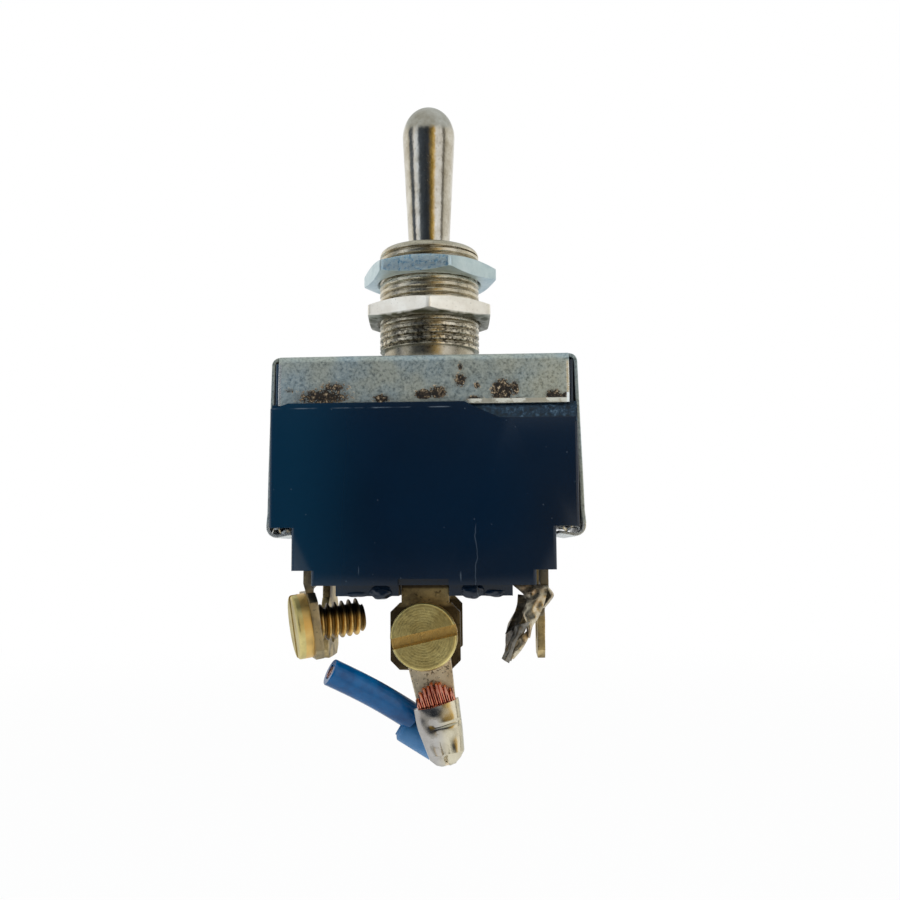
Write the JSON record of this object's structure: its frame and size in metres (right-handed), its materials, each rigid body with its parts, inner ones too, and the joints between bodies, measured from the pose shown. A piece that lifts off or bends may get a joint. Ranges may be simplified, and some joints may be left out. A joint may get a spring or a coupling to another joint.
{
  "type": "panel toggle switch",
  "caption": "Heavy-duty double-pole toggle switch for a panel hole, with a bat lever, threaded bushing and nuts, folded metal cover, moulded case and screw terminals.",
  "frame": {"origin": "on the bushing's axis at the cover's top face", "axes": "+Z along the bushing's axis towards the lever's tip, -Y towards the side with the cable lug, and the lever swings from -X to +X"},
  "size_m": [0.0348, 0.0239, 0.0767],
  "materials": {
    "polished_nickel": "polished nickel plate",
    "nickel_brass": "turned, nickel plated",
    "pale_nickel": "nickel plated",
    "blue_zinc": "blue passivated zinc plate",
    "zinc_cover": "dull zinc plate with rust spots",
    "liner_fibre": "pressed fibre",
    "dark_moulding": "satin phenolic moulding",
    "inner_moulding": "phenolic moulding",
    "plunger_moulding": "plain nylon",
    "inner_steel": "plain",
    "contact_copper": "plain copper",
    "contact_silver": "plain silver",
    "terminal_brass": "tarnished",
    "olive_brass": "tarnished",
    "tinned_lug": "dull tin plate",
    "strand_copper": "bare copper",
    "blue_insulation": "glossy",
    "blue_sleeve": "glossy"
  },
  "bodies": {
    "base": {"housing": "dark_moulding", "cover": "zinc_cover", "liner": "liner_fibre", "bushing": "nickel_brass", "pivot_pin": "inner_steel", "terminal_centre_front": "terminal_brass", "terminal_centre_rear": "terminal_brass", "terminal_left_front": "terminal_brass", "terminal_left_rear": "terminal_brass", "terminal_right_front": "terminal_brass", "terminal_right_rear": "terminal_brass", "fixed_contact_left_front": "contact_silver", "fixed_contact_left_rear": "contact_silver", "fixed_contact_right_front": "contact_silver", "fixed_contact_right_rear": "contact_silver", "cable_lug": "tinned_lug", "copper_strands": "strand_copper", "wire_insulation": "blue_insulation", "wire_core": "strand_copper", "wire_sleeve": "blue_sleeve"},
    "lever_body": {"lever": "polished_nickel", "actuator": "inner_moulding", "spring_front": "inner_steel", "spring_rear": "inner_steel"},
    "plunger_front_body": {"plunger_front": "plunger_moulding"},
    "plunger_rear_body": {"plunger_rear": "plunger_moulding"},
    "rocker_front_body": {"rocker_front": "contact_copper", "rocker_contacts_front": "contact_silver"},
    "rocker_rear_body": {"rocker_rear": "contact_copper", "rocker_contacts_rear": "contact_silver"},
    "upper_nut_body": {"upper_nut": "blue_zinc"},
    "lower_nut_body": {"lower_nut": "pale_nickel"},
    "screw_centre_front_body": {"screw_centre_front": "olive_brass"},
    "screw_centre_rear_body": {"screw_centre_rear": "olive_brass"},
    "screw_left_front_body": {"screw_left_front": "olive_brass"}
  },
  "joints": [
    {"name": "lever_tilt", "type": "hinge", "parent": "base", "child": "lever_body", "pos_m": [0, 0, 0.006], "axis": [0, 1, 0], "range_deg": [-12, 12]},
    {"name": "plunger_front_slide", "type": "slide", "parent": "lever_body", "child": "plunger_front_body", "axis": [0, 0, 1], "range_m": [0, 0.0004], "stiffness_N_per_m": 400, "springref_m": -0.001, "deforming": ["spring_front"]},
    {"name": "rocker_front_tilt", "type": "hinge", "parent": "base", "child": "rocker_front_body", "pos_m": [0, -0.00535, -0.01262], "axis": [0, 1, 0], "range_deg": [-6, 6]},
    {"name": "plunger_rear_slide", "type": "slide", "parent": "lever_body", "child": "plunger_rear_body", "axis": [0, 0, 1], "range_m": [0, 0.0004], "stiffness_N_per_m": 400, "springref_m": -0.001, "deforming": ["spring_rear"]},
    {"name": "rocker_rear_tilt", "type": "hinge", "parent": "base", "child": "rocker_rear_body", "pos_m": [0, 0.00535, -0.01262], "axis": [0, 1, 0], "range_deg": [-6, 6]},
    {"name": "upper_nut_slide", "type": "slide", "parent": "base", "child": "upper_nut_body", "axis": [0, 0, 1], "range_m": [-0.0013, 0.002]},
    {"name": "lower_nut_slide", "type": "slide", "parent": "base", "child": "lower_nut_body", "axis": [0, 0, 1], "range_m": [-0.005, 0.0013]},
    {"name": "screw_centre_front_slide", "type": "slide", "parent": "base", "child": "screw_centre_front_body", "axis": [0, -1, 0], "range_m": [0, 0.0024]},
    {"name": "screw_centre_rear_slide", "type": "slide", "parent": "base", "child": "screw_centre_rear_body", "axis": [0, 1, 0], "range_m": [0, 0.0024]},
    {"name": "screw_left_front_slide", "type": "slide", "parent": "base", "child": "screw_left_front_body", "axis": [-0.9296, -0.3384, -0.1461], "range_m": [0, 0.0024]}
  ],
  "couplings": [
    {"joint": "rocker_front_tilt", "follows": "lever_tilt", "ratio": -0.5},
    {"joint": "rocker_rear_tilt", "follows": "lever_tilt", "ratio": -0.5}
  ]
}
